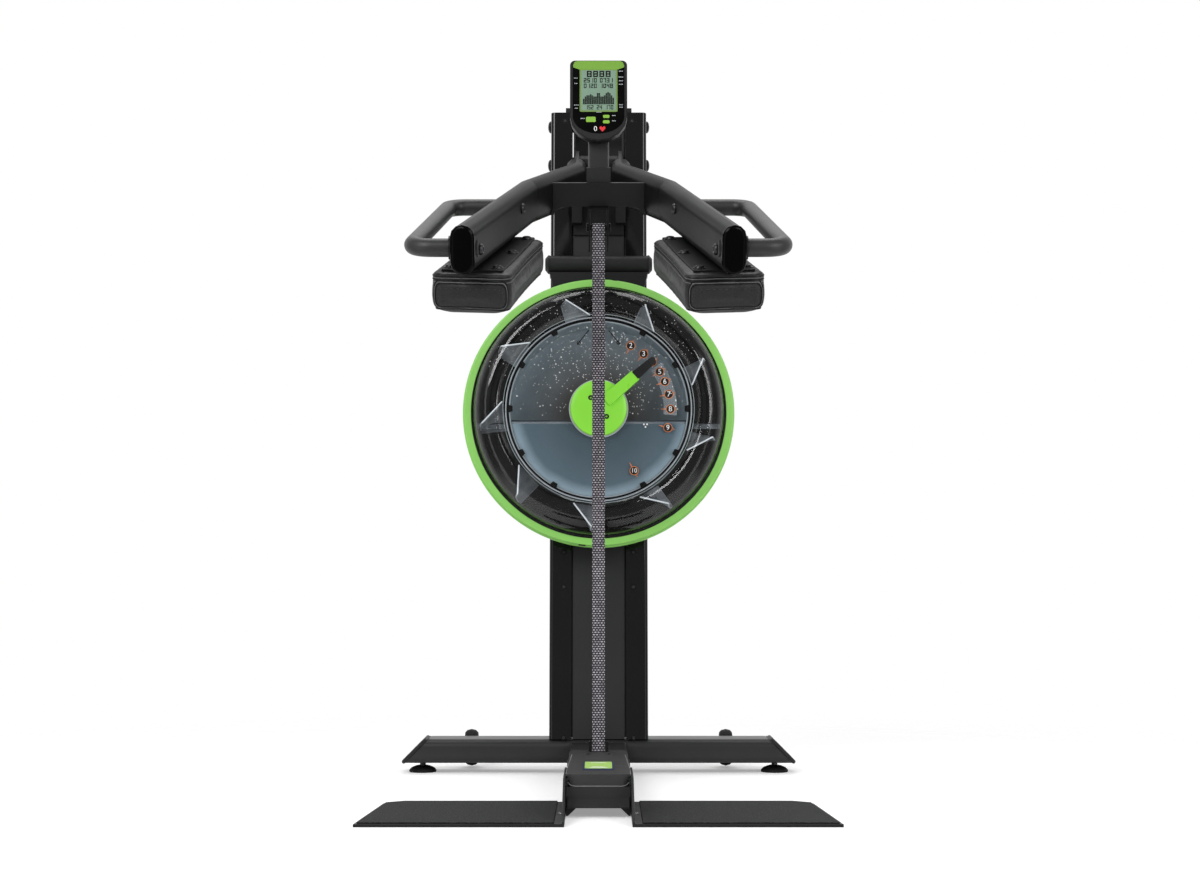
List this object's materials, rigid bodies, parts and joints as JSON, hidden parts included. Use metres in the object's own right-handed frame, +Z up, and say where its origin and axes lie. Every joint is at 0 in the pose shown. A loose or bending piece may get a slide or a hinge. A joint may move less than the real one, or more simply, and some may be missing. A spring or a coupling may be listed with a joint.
{
  "type": "standing water resistance lever trainer",
  "caption": "Standing strength trainer: a pivoted lever with shoulder pads and looped handles pulls a strap that turns an impeller in a round water tank.",
  "frame": {"origin": "on the floor, below the middle of the machine's box", "axes": "+X to the right and +Y away from the user as the machine is seen from the user's side, +Z up"},
  "size_m": [0.752, 1.03, 1.3176],
  "materials": {
    "frame_steel": "satin black powder coat",
    "panel_gloss": "gloss black",
    "black_plastic": "fine grain black",
    "black_rubber": "matt black",
    "handle_grip": "smooth black grip tube",
    "green_plastic": "gloss green",
    "clear_plastic": "clear, polished",
    "water": "clear liquid",
    "bolt_steel": "zinc plated",
    "strap_webbing": "flat woven webbing",
    "pad_vinyl": "grained vinyl",
    "display": "grey-green LCD"
  },
  "bodies": {
    "frame": {"rear_crossbar": "frame_steel", "crossbar_cap_left": "black_plastic", "crossbar_cap_right": "black_plastic", "base_beam": "frame_steel", "front_yoke": "frame_steel", "footplate_left": "frame_steel", "footplate_right": "frame_steel", "grip_mat_left": "black_rubber", "grip_mat_right": "black_rubber", "pulley_cover": "black_plastic", "column_tube": "frame_steel", "side_panel_left": "panel_gloss", "side_panel_right": "panel_gloss", "pivot_cheek_left": "frame_steel", "pivot_cheek_right": "frame_steel", "pivot_axle": "bolt_steel", "top_tie_bolt": "bolt_steel", "lever_stop": "black_rubber", "rest_bar": "black_plastic", "rest_bar_bracket": "frame_steel", "tank_bracket": "frame_steel", "tank_rear_shell": "black_plastic", "tank_front_shell": "clear_plastic", "tank_rim": "green_plastic", "storage_chamber": "clear_plastic", "tank_water": "water", "base_pulley_axle": "bolt_steel", "foot_pulley_axle": "bolt_steel", "recoil_spring_case": "black_plastic"},
    "lever": {"pivot_yoke": "frame_steel", "pivot_bush": "bolt_steel", "lever_arm_left": "frame_steel", "lever_arm_right": "frame_steel", "lever_cross_plate": "frame_steel", "strap_clevis": "frame_steel", "strap_pin": "bolt_steel", "arm_cap_left": "panel_gloss", "arm_cap_right": "panel_gloss", "looped_handle_left": "handle_grip", "looped_handle_right": "handle_grip", "pad_plate_left": "frame_steel", "pad_plate_right": "frame_steel", "shoulder_pad_left": "pad_vinyl", "shoulder_pad_right": "pad_vinyl", "console_mast": "frame_steel", "console_housing": "black_plastic", "console_screen": "display"},
    "base_pulley": {"base_pulley": "black_plastic"},
    "foot_pulley": {"foot_pulley": "black_plastic"},
    "strap_spool": {"strap_spool": "black_plastic"},
    "impeller": {"impeller": "clear_plastic"},
    "resistance_selector": {"resistance_selector": "green_plastic"},
    "transport_wheel_left": {"transport_wheel_left": "black_rubber"},
    "transport_wheel_right": {"transport_wheel_right": "black_rubber"},
    "levelling_foot_left": {"levelling_foot_left": "black_rubber"},
    "levelling_foot_right": {"levelling_foot_right": "black_rubber"},
    "key_start": {"key_start": "green_plastic"},
    "key_up": {"key_up": "green_plastic"},
    "key_down": {"key_down": "green_plastic"},
    "strap": {"drive_strap": "strap_webbing"}
  },
  "joints": [
    {"name": "arm_pivot", "type": "hinge", "parent": "frame", "child": "lever", "pos_m": [0, 0.45294, 1.20301], "axis": [-1, 0, 0], "range_deg": [0, 50.49]},
    {"name": "strap_feed", "type": "slide", "parent": "frame", "child": "strap", "axis": [0, 0, 1], "range_m": [0, 0.384], "deforming": ["drive_strap"]},
    {"name": "base_pulley_spin", "type": "hinge", "parent": "frame", "child": "base_pulley", "pos_m": [0, 0.05889, 0.0428], "axis": [-1, 0, 0], "range_deg": [0, 1270.2]},
    {"name": "foot_pulley_spin", "type": "hinge", "parent": "frame", "child": "foot_pulley", "pos_m": [0, 0.33407, 0.0428], "axis": [-1, 0, 0], "range_deg": [0, 1270.2]},
    {"name": "spool_spin", "type": "hinge", "parent": "frame", "child": "strap_spool", "pos_m": [0, 0.40731, 0.6814], "axis": [0, 0.9962, -0.0872], "range_deg": [0, 662.3]},
    {"name": "impeller_spin", "type": "hinge", "parent": "frame", "child": "impeller", "pos_m": [0, 0.40731, 0.6814], "axis": [0, 0.9962, -0.0872], "continuous": true},
    {"name": "resistance_turn", "type": "hinge", "parent": "frame", "child": "resistance_selector", "pos_m": [0, 0.23297, 0.69665], "axis": [0, 0.9962, -0.0872], "range_deg": [-48, 102]},
    {"name": "wheel_spin_left", "type": "hinge", "parent": "frame", "child": "transport_wheel_left", "pos_m": [-0.251, 0.43569, 0.039], "axis": [1, 0, 0], "continuous": true},
    {"name": "wheel_spin_right", "type": "hinge", "parent": "frame", "child": "transport_wheel_right", "pos_m": [0.251, 0.43569, 0.039], "axis": [1, 0, 0], "continuous": true},
    {"name": "foot_screw_left", "type": "hinge", "parent": "frame", "child": "levelling_foot_left", "pos_m": [-0.34, 0.34769, 0.01], "axis": [0, 0, 1], "continuous": true},
    {"name": "foot_screw_right", "type": "hinge", "parent": "frame", "child": "levelling_foot_right", "pos_m": [0.34, 0.34769, 0.01], "axis": [0, 0, 1], "continuous": true},
    {"name": "press_start", "type": "slide", "parent": "lever", "child": "key_start", "axis": [0, 0.9976, -0.0698], "range_m": [0, 0.0012], "stiffness_N_per_m": 300, "springref_m": -0.001},
    {"name": "press_up", "type": "slide", "parent": "lever", "child": "key_up", "axis": [0, 0.9976, -0.0698], "range_m": [0, 0.0012], "stiffness_N_per_m": 300, "springref_m": -0.001},
    {"name": "press_down", "type": "slide", "parent": "lever", "child": "key_down", "axis": [0, 0.9976, -0.0698], "range_m": [0, 0.0012], "stiffness_N_per_m": 300, "springref_m": -0.001}
  ],
  "couplings": [
    {"joint": "strap_feed", "follows": "arm_pivot", "m_per_rad": 0.43348},
    {"joint": "base_pulley_spin", "follows": "arm_pivot", "ratio": 25.057},
    {"joint": "foot_pulley_spin", "follows": "arm_pivot", "ratio": 25.057},
    {"joint": "spool_spin", "follows": "arm_pivot", "ratio": 13.017}
  ]
}
